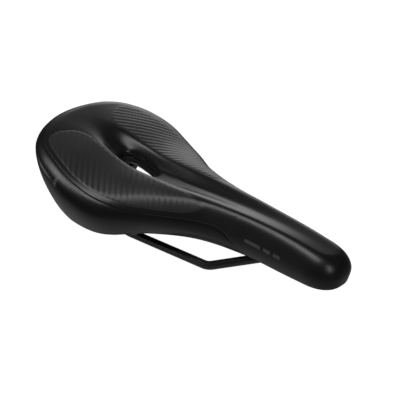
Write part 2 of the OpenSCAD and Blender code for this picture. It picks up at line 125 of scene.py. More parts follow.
@dataclass(frozen=True)
class SeatShape:
    """Master surface of the seat: outline, crest, channel, rounded edge and shell arch."""

    half_width: float = 70
    nose_tip: float = 153
    nose_len: float = 24.4
    nose_x0: float = nose_tip - nose_len
    nose_power: float = 2.4
    nose_lean: float = 0.45
    tail_end: float = -124
    tail_len: float = 54
    tail_x0: float = tail_end + tail_len
    tail_power: float = 2.75
    tail_lean: float = 0.5
    tail_bulge: float = 6
    bulge_w: float = 45
    hole_front: float = -29
    hole_rear: float = -68
    hole_half: float = 11.5
    hole_taper: float = 0.14
    hole_power: float = 2.4
    behind_hole: int = 8
    channel_depth: float = 8
    crest_room: float = 3
    fall_end: float = 1.2
    edge_share: float = 0.8
    tuck_power: float = 1.5
    shell_gap: float = 3.4
    shell_rise: float = 0.5
    shell_t: float = 2.4
    foam_t: float = 19
    cover_t: float = 1.2
    seam_end: float = 73
    width: ShapeLine = ShapeLine(((-108, 0.95), (-90, 0.975), (-65, 1), (-35, 0.9), (-5, 0.63),
                                  (30, 0.417), (70, 0.325), (110, 0.296), (145, 0.296)))
    crest_z: ShapeLine = ShapeLine(((-120, 76.5), (-85, 67), (-45, 55.5), (-5, 52.7), (35, 51.4),
                                    (75, 48.9), (115, 44), (160, 34.7)))
    crest_y: ShapeLine = ShapeLine(((-125, 14), (-100, 15), (-60, 16.5), (-20, 16.5), (10, 16),
                                    (40, 13.5), (70, 11.5), (110, 9.5), (150, 7)))
    channel: ShapeLine = ShapeLine(((-130, 0), (-104, 0.02), (-88, 0.22), (-74, 0.75), (-56, 1),
                                    (-30, 0.93), (0, 0.74), (30, 0.48), (60, 0.27), (90, 0.13),
                                    (120, 0.04), (150, 0)))
    wall: ShapeLine = ShapeLine(((-120, 1), (-90, 1), (-70, 0.72), (-50, 0.55), (-25, 0.65),
                                 (10, 0.88), (50, 1), (150, 1)))
    fall: ShapeLine = ShapeLine(((-120, 4.9), (-80, 7), (-35, 13), (10, 10), (70, 7), (150, 4.8)))
    edge_w: ShapeLine = ShapeLine(((-120, 13), (-80, 13.3), (-35, 13.2), (10, 11.5), (70, 11.5),
                                   (150, 13.2)))
    edge_h: ShapeLine = ShapeLine(((-120, 5), (-80, 7.3), (-35, 10.7), (10, 12.8), (70, 13),
                                   (150, 12)))
    rim_z: ShapeLine = ShapeLine(((-120, 25), (-85, 18), (-45, 12), (-5, 17.2), (35, 20.4),
                                  (75, 20.6), (115, 17.3), (160, 15.2)))
    tuck: ShapeLine = ShapeLine(((-120, 13.5), (-80, 13.5), (-35, 10.5), (10, 7.5), (70, 3.6),
                                 (110, 2.6), (150, 2.2)))
    foam: ShapeLine = ShapeLine(((-120, 1), (-95, 0.98), (-78, 0.84), (-62, 0.71), (-46, 0.67),
                                 (-28, 0.69), (0, 0.87), (30, 0.95), (75, 0.78), (110, 0.66),
                                 (150, 0.6)))
    seam: ShapeLine = ShapeLine(((-131, 1.45), (-122, 1.52), (-110, 1.68), (-96, 1.82),
                                 (-80, 1.84), (-62, 1.76), (-32, 1.6), (-15, 1.38), (5, 1.3),
                                 (48, 1.3), (58, 1.22), (64, 1.05), (69, 0.7), (73, 0.15)))
    arch_power: ShapeLine = ShapeLine(((-30, 2.5), (70, 4.5)))

    @property
    def hole_mid(self) -> float:
        """Middle of the relief opening along the seat."""
        return (self.hole_front + self.hole_rear) / 2

    @property
    def hole_reach(self) -> float:
        """Half the length of the relief opening."""
        return (self.hole_front - self.hole_rear) / 2

    def half_w(self, x: Array) -> Array:
        """Half width of the plan outline at x.

        Args:
            x: Places along the seat.

        Returns:
            The half widths.
        """
        nose = cap((x - self.nose_x0) / self.nose_len, self.nose_power)
        tail = cap((self.tail_x0 - x) / self.tail_len, self.tail_power)
        return self.half_width * self.width.at(x) * nose * tail

    def hole_w(self, x: Array) -> Array:
        """Half width of the relief opening at x, 0 outside it.

        Args:
            x: Places along the seat.

        Returns:
            The half widths.
        """
        p = self.hole_power
        v = np.clip((x - self.hole_mid) / self.hole_reach, -1, 1)
        return self.hole_half * (1 - self.hole_taper * (v + 1)) * (1 - np.abs(v) ** p) ** (1 / p)

    def hole_edge(self, count: int) -> Array:
        """Plan points round the right half of the opening's edge."""
        x = self.hole_mid + self.hole_reach * np.cos(np.linspace(0, np.pi, count))
        return np.stack([x, -self.hole_w(x)], -1)

    def arch_top(self, x: Array) -> Array:
        """Height of the shell's middle line at x."""
        return self.crest_z.at(x) - self.foam_t * self.foam.at(x)

    def columns(self, x: Array) -> Columns:
        """Cross-sections whose own place is x.

        Args:
            x: Places from the nose tip to the end of the tail.

        Returns:
            The start, direction and length of each section in the plan, right side.
        """
        w = self.half_w(x)
        w = np.where((x > self.nose_tip - AT_END) | (x < self.tail_end + AT_END), 0, w)
        bulge = self.tail_bulge * ((self.tail_x0 - x) / self.tail_len) ** 2
        near = np.cos(np.pi / 2 * np.minimum(1, w / self.bulge_w)) ** 2
        px = x - np.where(x > self.tail_x0, 0, bulge * near)
        nose = self.nose_x0 + self.nose_lean * (px - self.nose_x0)
        tail = self.tail_x0 + self.tail_lean * (px - self.tail_x0)
        sx = np.where(px > self.nose_x0, nose, np.where(px < self.tail_x0, tail, px))
        start = np.stack([px, -w], -1)
        end = np.stack([sx, -self.hole_w(sx)], -1)
        run = np.linalg.norm(end - start, axis=-1)
        return Columns(px, start, (end - start) / run[:, None], run)

    def full_run(self, nose: int, front: int, hole: int, tail: int) -> Array:
        """Places of all columns from the nose tip to the middle of the tail.

        Args:
            nose: How many round the nose.
            front: How many from there to the opening.
            hole: How many beside the opening.
            tail: How many round the tail.

        Returns:
            The places, nose first.
        """
        q = np.pi / 2
        return np.concatenate([
            self.nose_x0 + self.nose_len * np.cos(q * np.arange(nose) / nose),
            np.linspace(self.nose_x0, self.hole_front, front, endpoint=False),
            self.hole_mid + self.hole_reach * np.cos(2 * q * np.arange(hole + 1) / hole),
            np.linspace(self.hole_rear, self.tail_x0, self.behind_hole)[1:-1],
            self.tail_x0 - self.tail_len * np.sin(q * np.arange(tail + 1) / tail)])

    def top_z(self, x: Array, y: Array) -> Array:
        """Height of the top over a plan point, before its edge is rounded.

        Args:
            x: Places along the seat.
            y: Distances from its middle plane.

        Returns:
            The heights.
        """
        yc = self.crest_y.at(x)
        w = np.maximum(self.half_width * self.width.at(x), yc + self.crest_room)
        v = np.clip((np.abs(y) - yc) / (w - yc), 0, self.fall_end)
        s = ease((1 - np.abs(y) / yc) / self.wall.at(x))
        dip = self.channel_depth * self.channel.at(x) * s
        return self.crest_z.at(x) - self.fall.at(x) * v * v - dip

    def section(self, c: Columns, t: Array) -> tuple[Array, Array]:
        """Outer section: t runs 0 to 1 up the side, to 2 round the edge, to 3 inward.

        Args:
            c: The columns.
            t: Places on each column's section, one row of the array for each column.

        Returns:
            The distance inward from the outline, and the height.
        """
        x = c.x[:, None]
        run = c.length[:, None]
        ew, eh = np.minimum(self.edge_w.at(x), self.edge_share * run), self.edge_h.at(x)
        rim, tuck = self.rim_z.at(x), self.tuck.at(x)
        turn = np.pi / 2 * np.clip(t - 1, 0, 1)
        r = np.where(t <= 1, tuck * np.clip(1 - t, 0, 1) ** self.tuck_power,
                     np.where(t <= 2, ew * (1 - np.cos(turn)), ew + (run - ew) * (t - 2)))
        over = self.over(c, np.where(t <= 1, 0, r))
        z = np.where(t <= 1, rim + (over - eh - rim) * np.clip(t, 0, 1),
                     np.where(t <= 2, over - eh * (1 - np.sin(turn)), over))
        return r, z

    def over(self, c: Columns, r: Array) -> Array:
        """Height of the top over the point r inward on each column."""
        p = c.start[:, None, :] + c.inward[:, None, :] * r[..., None]
        return self.top_z(p[..., 0], p[..., 1])

    def place(self, c: Columns, r: Array, z: Array) -> Array:
        """Points of the right side from inward distances and heights."""
        p = c.start[:, None, :] + c.inward[:, None, :] * r[..., None]
        return np.concatenate([p, z[..., None]], -1)

    def sunk(self, c: Columns, line: Callable[[Array], tuple[Array, Array]], t: Array,
             last: float, step: float, depth: Array | float) -> Array:
        """Points of a line on each section, moved in by a depth square to the line.

        Args:
            c: The columns.
            line: Gives the inward distance and the height at places on the line.
            t: Those places, 0 at the rim.
            last: The place in the middle of the seat.
            step: How far on either side the line's direction is read.
            depth: How far in, in mm.

        Returns:
            The points. They move level at the rim and straight down in the middle.
        """
        r, z = line(t)
        r0, z0 = line(np.maximum(t - step, 0))
        r1, z1 = line(np.minimum(t + step, last))
        dr, dz = r1 - r0, z1 - z0
        n = np.hypot(dr, dz)
        middle, rim = t > last - AT_END, t < AT_END
        ir = np.where(middle, 0, np.where(rim, 1, dz / n))
        iz = np.where(middle, -1, np.where(rim, 0, -dr / n))
        return self.place(c, r + ir * depth, z + iz * depth)

    def skin(self, c: Columns, t: Array, depth: Array | float) -> Array:
        """Points of the outer surface, moved in by a depth square to the section."""
        return self.sunk(c, lambda places: self.section(c, places), t, 3, 0.02, depth)

    def shell_skin(self, c: Columns, u: Array, depth: Array | float) -> Array:
        """Points of the shell's arch, u from the rim, 0, to the middle, 1.

        Args:
            c: The columns.
            u: Places on each column's arch.
            depth: How far in from the outer face of the shell.

        Returns:
            The points.
        """
        x, run = c.x[:, None], c.length[:, None]
        top = self.arch_top((c.start + c.inward * run)[:, 0])[:, None]
        r0, z0 = self.tuck.at(x) + self.shell_gap, self.rim_z.at(x) + self.shell_rise
        power = self.arch_power.at(x)

        def arch(v: Array) -> tuple[Array, Array]:
            """The arch's inward distance and height."""
            lean = np.clip(1 - v, 0, 1)
            return r0 + (run - r0) * v, z0 + (top - z0) * (1 - lean ** power) ** (1 / power)

        return self.sunk(c, arch, u, 1, 0.01, depth)

    def seam_t(self, c: Columns) -> Array:
        """Place of the band's seam on each section, 0 ahead of the band's tip."""
        return np.where(c.x > self.seam_end, 0, self.seam.at(c.x))


SEAT = SeatShape()


def run_along(r: Array, z: Array) -> Array:
    """Distance gone along each section, from its inward distances and heights."""
    return np.cumsum(np.hypot(np.diff(r, axis=1, prepend=r[:, :1]),
                              np.diff(z, axis=1, prepend=z[:, :1])), 1)
# -------- mesh tools
def deselect() -> None:
    """Leaves edit mode and selects nothing."""
    if bpy.context.object and bpy.context.object.mode != "OBJECT":
        bpy.ops.object.mode_set(mode="OBJECT")
    bpy.ops.object.select_all(action="DESELECT")


def pick(obj: bpy.types.Object) -> None:
    """Makes obj the only selected and active object.

    Args:
        obj: The piece.
    """
    deselect()
    obj.select_set(True)
    bpy.context.view_layer.objects.active = obj
@contextmanager
def all_selected(obj: bpy.types.Object) -> Iterator[None]:
    """Edit mode with all of obj selected, for the length of a with block.

    Args:
        obj: The piece.
    """
    pick(obj)
    bpy.ops.object.mode_set(mode="EDIT")
    bpy.ops.mesh.select_all(action="SELECT")
    yield
    bpy.ops.object.mode_set(mode="OBJECT")

def apply_modifier(obj: bpy.types.Object, kind: str, **settings: object) -> None:
    """Adds one modifier, sets it and applies it.

    Args:
        obj: The piece.
        kind: The modifier's type.
        settings: Its properties.
    """
    pick(obj)
    bpy.ops.object.modifier_add(type=kind)
    mod = obj.modifiers[-1]
    for key, value in settings.items():
        setattr(mod, key, value)
    bpy.ops.object.modifier_apply(modifier=mod.name)


def cloth_grid(name: str, points: Array) -> bpy.types.Object:
    """Lays a grid primitive onto points.

    Args:
        name: The piece's name.
        points: Array of columns by rows by xyz, in mm.

    Returns:
        The laid grid, doubles merged.
    """
    cols, rows = points.shape[0] - 1, points.shape[1] - 1
    deselect()
    bpy.ops.mesh.primitive_grid_add(x_subdivisions=cols, y_subdivisions=rows, size=1)
    obj = bpy.context.object
    obj.name = obj.data.name = name
    flat = np.empty(len(obj.data.vertices) * 3)
    obj.data.vertices.foreach_get("co", flat)
    flat = flat.reshape(-1, 3)
    u = np.rint((flat[:, 0] + 0.5) * cols).astype(int)
    v = np.rint((flat[:, 1] + 0.5) * rows).astype(int)
    obj.data.vertices.foreach_set("co", (points[u, v] * MM).ravel())
    obj.data.update()
    with all_selected(obj):
        bpy.ops.mesh.remove_doubles(threshold=MERGE)
        bpy.ops.mesh.dissolve_degenerate(threshold=TINY)
    return obj


def drop_middle(obj: bpy.types.Object) -> None:
    """Deletes the faces that lie in the middle plane.

    Args:
        obj: The piece.
    """
    pick(obj)
    bpy.ops.object.mode_set(mode="EDIT")
    bpy.ops.mesh.select_mode(type="FACE")
    bpy.ops.mesh.select_all(action="DESELECT")
    bpy.ops.object.mode_set(mode="OBJECT")
    corners = obj.data.vertices
    found = [all(abs(corners[i].co.y) < TINY for i in face.vertices)
             for face in obj.data.polygons]
    obj.data.polygons.foreach_set("select", found)
    if any(found):
        bpy.ops.object.mode_set(mode="EDIT")
        bpy.ops.mesh.delete(type="FACE")
        bpy.ops.object.mode_set(mode="OBJECT")


def face_outward(obj: bpy.types.Object) -> None:
    """Turns every face of a closed or open sheet the same way, outward."""
    with all_selected(obj):
        bpy.ops.mesh.normals_make_consistent(inside=False)


def turn(obj: bpy.types.Object, up: bool) -> None:
    """Turns an open sheet so that its faces look up, or down.

    Args:
        obj: The sheet.
        up: True for up.
    """
    face_outward(obj)
    looks = sum(face.normal.z * face.area for face in obj.data.polygons)
    if (looks < 0) if up else (looks > 0):
        with all_selected(obj):
            bpy.ops.mesh.flip_normals()


def full_ring(half: Array) -> Array:
    """Adds the mirrored left half to columns that run from the nose to the tail."""
    return np.concatenate([half, half[-2:0:-1] * MIRROR_Y, half[:1]])


def mirrored(points: Array) -> Array:
    """The left-hand copy of columns of the right side, faces still outward."""
    return points[::-1] * MIRROR_Y


def smooth(obj: bpy.types.Object, degrees: float) -> None:
    """Shades the piece smooth, keeping corners sharper than an angle."""
    pick(obj)
    bpy.ops.object.shade_smooth_by_angle(angle=math.radians(degrees))


# -------- finishes
class Value:
    """A shader socket that takes the ordinary signs of arithmetic."""

    def __init__(self, finish: "Finish", socket: bpy.types.NodeSocket) -> None:
        """Holds one output socket of a finish."""
        self.finish, self.socket = finish, socket

    def _sum(self, kind: str, *parts: object) -> "Value":
        """Adds one Math node."""
        return self.finish.node("ShaderNodeMath", {"operation": kind}, list(parts))

    def __add__(self, other: object) -> "Value":
        """Sum."""
        return self._sum("ADD", self, other)

    def __sub__(self, other: object) -> "Value":
        """Difference."""
        return self._sum("SUBTRACT", self, other)

    def __rsub__(self, other: object) -> "Value":
        """Difference from a number."""
        return self._sum("SUBTRACT", other, self)

    def __mul__(self, other: object) -> "Value":
        """Product."""
        return self._sum("MULTIPLY", self, other)

    __radd__ = __add__
    __rmul__ = __mul__

    def __abs__(self) -> "Value":
        """Size without its sign."""
        return self._sum("ABSOLUTE", self)

    def __lt__(self, other: object) -> "Value":
        """1 where this is below the other."""
        return self._sum("LESS_THAN", self, other)

    def __gt__(self, other: object) -> "Value":
        """1 where this is above the other."""
        return self._sum("GREATER_THAN", self, other)


@dataclass(frozen=True)
class Mark:
    """A plain printed bar on both sides of the seat, in mm."""

    x: float
    z: float
    half_len: float
    half_high: float
    slant: float = 0.0


@dataclass(frozen=True)
class Finish:
    """One surface finish: colour, gloss, fine grain and its small unevenness."""

    name: str
    color: Triple
    rough: float
    rough_spread: float = 0.06
    metallic: float = 0.0
    specular: float = 0.5
    grain_size: float = 0.6
    grain_depth: float = 0.03
    grain_strength: float = 0.55
    grain: str = "VORONOI"
    cloud_scale: float = 38.0
    fine_scale: float = 900.0
    fine_share: float = 0.3
    mottle: float = 0.25
    coat: float = 0.0
    coat_rough: float = 0.12
    sheen: float = 0.0
    sheen_rough: float = 0.4
    marks: tuple[Mark, ...] = ()
    mark_color: Triple = (0.07, 0.07, 0.072)
    mark_side: float = 12
    made: dict = field(default_factory=dict, compare=False)

    def node(self, kind: str, settings: dict, inputs: list | dict, out: int | str = 0) -> Value:
        """Adds one node.

        Args:
            kind: The node's type.
            settings: Properties, set before its sockets.
            inputs: Values or Value links of its sockets, by place or by name.
            out: Which output to hand back.

        Returns:
            That output.
        """
        tree = self.made["tree"]
        node = tree.nodes.new(kind)
        for key, value in settings.items():
            setattr(node, key, value)
        pairs = inputs.items() if isinstance(inputs, dict) else enumerate(inputs)
        for key, value in pairs:
            if isinstance(value, Value):
                tree.links.new(value.socket, node.inputs[key])
            else:
                node.inputs[key].default_value = value
        return Value(self, node.outputs[out])

    def build(self) -> bpy.types.Material:
        """Makes the material once and hands it back each time.

        Returns:
            The material.
        """
        if "material" in self.made:
            return self.made["material"]
        mat = bpy.data.materials.new(self.name)
        mat.use_nodes = True
        tree = mat.node_tree
        self.made.update(tree=tree, material=mat)
        shader = tree.nodes["Principled BSDF"]
        place = self.node("ShaderNodeTexCoord", {}, [], "Object")
        cloud = self.noise(place, self.cloud_scale, 3.0)
        fine = self.noise(place, self.fine_scale, 2.0)
        scale = 1 / (self.grain_size * MM)
        if self.grain == "VORONOI":
            height = self.node("ShaderNodeTexVoronoi", {"feature": "SMOOTH_F1"},
                               {"Vector": place, "Scale": scale}, "Distance")
        else:
            height = self.noise(place, scale, 4.0)
        bump = self.node("ShaderNodeBump", {}, {
            "Strength": self.grain_strength, "Distance": self.grain_depth * MM,
            "Height": height + self.fine_share * fine}, "Normal")
        dark = tuple(c * (1 - self.mottle) for c in self.color) + (1.0,)
        light = tuple(c * (1 + self.mottle) for c in self.color) + (1.0,)
        color = self.mix(cloud, dark, light)
        rough = self.rough + self.rough_spread * (cloud + fine - 1.0)
        if self.marks:
            mask = self.mark_mask(place)
            color = self.mix(mask, color, self.mark_color + (1.0,))
        tree.links.new(color.socket, shader.inputs["Base Color"])
        tree.links.new(rough.socket, shader.inputs["Roughness"])
        tree.links.new(bump.socket, shader.inputs["Normal"])
        shader.inputs["Metallic"].default_value = self.metallic
        shader.inputs["Specular IOR Level"].default_value = self.specular
        shader.inputs["Coat Weight"].default_value = self.coat
        shader.inputs["Coat Roughness"].default_value = self.coat_rough
        shader.inputs["Sheen Weight"].default_value = self.sheen
        shader.inputs["Sheen Roughness"].default_value = self.sheen_rough
        return mat

    def noise(self, place: Value, scale: float, detail: float) -> Value:
        """Cloudy noise around 0.5."""
        return self.node("ShaderNodeTexNoise", {},
                         {"Vector": place, "Scale": scale, "Detail": detail})

    def mix(self, factor: Value, low: object, high: object) -> Value:
        """Blends two colours by a factor."""
        return self.node("ShaderNodeMix", {"data_type": "RGBA"},
                         {0: factor, MIX_LOW: low, MIX_HIGH: high}, MIX_COLOR)

    def mark_mask(self, place: Value) -> Value:
        """1 on the printed bars and 0 elsewhere.

        Args:
            place: Object coordinates.

        Returns:
            The mask.
        """
        x, y, z = (self.node("ShaderNodeSeparateXYZ", {}, [place], i) for i in range(3))
        total: Value | None = None
        for m in self.marks:
            along = x - m.x * MM
            across = z - m.z * MM - along * m.slant
            bar = (abs(along) < m.half_len * MM) * (abs(across) < m.half_high * MM)
            total = bar if total is None else total + bar
        return total * (abs(y) > self.mark_side * MM)


class Slot(Enum):
    """The material slots, one finish each."""

    COVER = "cover"
    BAND = "band"
    GRIP = "grip"
    FOAM = "foam"
    GEL = "gel"
    NYLON = "nylon"
    RAIL = "rail_steel"
    SCREW = "screw_steel"
    BRASS = "brass"


NOSE_BARS = (Mark(84, 33.6, 7, 1.3, -0.13), Mark(97, 32.0, 3, 1.3, -0.13),
             Mark(106, 30.8, 3, 1.3, -0.13))
TAIL_BAR = (Mark(-73, 51, 1.3, 3.4),)
FINISHES = {
    Slot.COVER: Finish("satin microfibre", (0.0085, 0.0085, 0.0088), 0.34, sheen=0.05,
                       marks=NOSE_BARS),
    Slot.BAND: Finish("smooth band", (0.006, 0.006, 0.0062), 0.33, grain_size=0.9,
                      grain_depth=0.02, marks=TAIL_BAR),
    Slot.GRIP: Finish("ribbed grip", (0.028, 0.028, 0.029), 0.42, grain_size=0.4, grain_depth=0.02),
    Slot.FOAM: Finish("moulded foam", (0.06, 0.06, 0.064), 0.9, grain_size=0.8, grain_depth=0.12),
    Slot.GEL: Finish("comfort gel", (0.03, 0.06, 0.09), 0.3, grain_size=3, grain_depth=0.05),
    Slot.NYLON: Finish("spark-eroded nylon", (0.012, 0.012, 0.0125), 0.5, grain="NOISE",
                       grain_size=0.5, grain_depth=0.05),
    Slot.RAIL: Finish("black lacquer", (0.005, 0.005, 0.005), 0.32, rough_spread=0.05, coat=0.1,
                      grain="NOISE", grain_size=1.5, grain_depth=0.02),
    Slot.SCREW: Finish("zinc-plated steel", (0.5, 0.51, 0.53), 0.34, metallic=1.0, grain="NOISE",
                       grain_size=0.3, grain_depth=0.01, mottle=0.08),
    Slot.BRASS: Finish("turned brass", (0.6, 0.42, 0.17), 0.3, metallic=1.0, grain="NOISE",
                       grain_size=0.2, grain_depth=0.01, mottle=0.08),
}


def dress(obj: bpy.types.Object, slot: Slot) -> None:
    """Gives a piece the finish of its slot.

    Args:
        obj: The piece.
        slot: Its material slot.
    """
    obj.data.materials.clear()
    obj.data.materials.append(FINISHES[slot].build())


def finish_piece(obj: bpy.types.Object, slot: Slot, *nodes: str, sharp: float = 40) -> None:
    """Shades, dresses and mounts a new piece in place of CAD nodes.

    Args:
        obj: The piece.
        slot: Its material slot.
        nodes: The nodes it stands for.
        sharp: Angle in degrees past which a corner stays sharp.
    """
    smooth(obj, sharp)
    dress(obj, slot)
    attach(obj, BODY)
    if nodes:
        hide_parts(*nodes)
    log.info("%s: %d faces", obj.name, len(obj.data.polygons))


# -------- padded seat
@dataclass
class SeatPad:
    """The seat: cover, side band, hem, grip zones and the foam that they wrap."""

    counts: Counts = (40, 84, 48, 72)
    side_rows: int = 8
    round_rows: int = 20
    top_rows: int = 40
    top_crowd: float = 1.6
    roll: float = 1.8
    edge_points: int = 160
    hole_slack: float = 0.01
    wall: float = 6.0
    wall_rows: int = 3
    seam_depth: float = 0.22
    seam_width: float = 0.45
    seam_fade: float = 8
    band_rows: int = 26
    band_gap: float = 0.02
    band_least: float = 0.04
    hem_rows: int = 8
    hem_reach: Pair = (0.3, 5.5)
    hem_drop: float = 1.0
    hem_curl: float = 0.15
    hem_lip: float = 0.5
    hem_t: float = 0.8
    fold_high: float = 0.4
    fold_waves: Pair = (1.15, 0.31)
    fold_from: Pair = (118, -88)
    fold_fade: float = 20
    foam_gap: float = 0.4
    foam_side: int = 8
    foam_round: int = 10
    foam_top: int = 13
    foam_top_start: float = 0.08
    foam_under: int = 22

    def __post_init__(self) -> None:
        """Works out the columns that the cover, hem and foam share."""
        self.cols = SEAT.columns(SEAT.full_run(*self.counts))
        self.seam = SEAT.seam_t(self.cols)

    def build(self) -> None:
        """Makes and mounts all soft pieces."""
        self.make_cover()
        self.make_band()
        self.make_hem()
        Grips().build()
        self.make_foam()
    def cover_rows(self) -> Array:
        """Places of the cover's rows on each section.

        Returns:
            One row of places for each column.
        """
        low = self.seam[:, None]
        n = self.side_rows + self.round_rows
        j = np.arange(n + 1)[None, :]
        whole = np.where(j <= self.side_rows, low + (1 - low) * j / self.side_rows,
                         1 + (j - self.side_rows) / self.round_rows)
        short = low + (2 - low) * (j / n)
        part = np.where(low >= 1, short, whole)
        left = 1 - np.arange(1, self.top_rows + 1)[None, :] / self.top_rows
        top = 3 - left ** self.top_crowd
        return np.concatenate([part, np.repeat(top, len(low), 0)], 1)

    def make_cover(self) -> None:
        """Cover: the outer skin, its groove at the seam and its turn into the opening."""
        t = self.cover_rows()
        points = SEAT.skin(self.cols, t, self.groove(t))
        spine = points[:, -1, 0]
        edge = SEAT.hole_edge(self.edge_points)
        gap = np.linalg.norm(points[:, :, None, :2] - edge, axis=-1).min(-1)
        bend = np.clip(1 - gap / self.roll, 0, 1)
        points[..., 2] -= self.roll * (1 - np.sqrt(1 - bend ** 2))
        inside = np.abs(spine - SEAT.hole_mid) <= SEAT.hole_reach + self.hole_slack
        wall = np.where(inside, self.wall, 0)[:, None]
        down = np.repeat(points[:, -1:], self.wall_rows, 1)
        down[..., 2] -= wall * np.arange(1, self.wall_rows + 1) / self.wall_rows
        cover = cloth_grid("top_cover_skin", full_ring(np.concatenate([points, down], 1)))
        drop_middle(cover)
        face_outward(cover)
        apply_modifier(cover, "SOLIDIFY", thickness=SEAT.cover_t * MM, offset=-1, use_rim=True)
        finish_piece(cover, Slot.COVER, "top_cover", sharp=50)

    def dent(self, away: Array) -> Array:
        """Depth of the seam's groove at a distance from the seam."""
        return self.seam_depth * (1 - ease(away / self.seam_width))

    def groove(self, t: Array) -> Array:
        """Depth of the seam's groove on the cover's side of the seam."""
        fade = ease((SEAT.seam_end - self.cols.x) / self.seam_fade)[:, None]
        return fade * self.dent(run_along(*SEAT.section(self.cols, t)))

    def make_band(self) -> None:
        """Band: the smooth lower side from the rim to the seam."""
        c = self.cols.only(self.cols.x <= SEAT.seam_end)
        high = np.maximum(SEAT.seam_t(c) - self.band_gap, self.band_least)[:, None]
        t = high * np.arange(self.band_rows + 1)[None, :] / self.band_rows
        run = run_along(*SEAT.section(c, t))
        half = SEAT.skin(c, t, self.dent(run[:, -1:] - run))
        band = cloth_grid("side_band_skin", np.concatenate([half, half[-2::-1] * MIRROR_Y]))
        face_outward(band)
        apply_modifier(band, "SOLIDIFY", thickness=SEAT.cover_t * MM, offset=-1, use_rim=True)
        finish_piece(band, Slot.BAND, "side_band", sharp=50)

    def make_hem(self) -> None:
        """Hem: the cover's edge folded under the shell's rim, gathered at the ends."""
        x = self.cols.x[:, None]
        v = np.linspace(0, 1, self.hem_rows + 1)[None, :]
        steps = np.diff(self.cols.start, axis=0, prepend=self.cols.start[:1])
        arc = np.cumsum(np.linalg.norm(steps, axis=-1))[:, None]
        front, rear = self.fold_from
        tight = ease((x - front) / self.fold_fade) + ease((rear - x) / self.fold_fade)
        short, long = self.fold_waves
        waves = np.sin(arc * short) * np.sin(arc * long + 1)
        folds = waves * ease(v) * tight * self.fold_high
        start, end = self.hem_reach
        r = SEAT.tuck.at(x) + start + (end - start) * v
        curl = (1 - v / self.hem_curl).clip(0)
        lip = self.hem_lip * (1 - np.sqrt(np.clip(1 - curl ** 2, 0, 1)))
        z = SEAT.rim_z.at(x) - self.hem_drop + folds + lip
        hem = cloth_grid("folded_hem", full_ring(SEAT.place(self.cols, r, z)))
        turn(hem, up=False)
        apply_modifier(hem, "SOLIDIFY", thickness=self.hem_t * MM, offset=-1, use_rim=True)
        finish_piece(hem, Slot.BAND, "cover_hem")

    def make_foam(self) -> None:
        """Foam: the pad between the cover and the shell."""
        count = len(self.cols.x)
        t = np.concatenate([np.linspace(0, 1, self.foam_side),
                            1 + np.linspace(1 / self.foam_round, 1, self.foam_round),
                            2 + np.linspace(self.foam_top_start, 1, self.foam_top)])
        u = np.linspace(1, 0, self.foam_under) ** ARCH_CROWD
        outer = SEAT.skin(self.cols, np.tile(t, (count, 1)), SEAT.cover_t + self.foam_gap)
        inner = SEAT.shell_skin(self.cols, np.tile(u, (count, 1)), -self.foam_gap)
        close = outer[:, :1]
        foam = cloth_grid("foam_core", full_ring(np.concatenate([outer, inner, close], 1)))
        drop_middle(foam)
        face_outward(foam)
        finish_piece(foam, Slot.FOAM, "foam_pad", sharp=50)


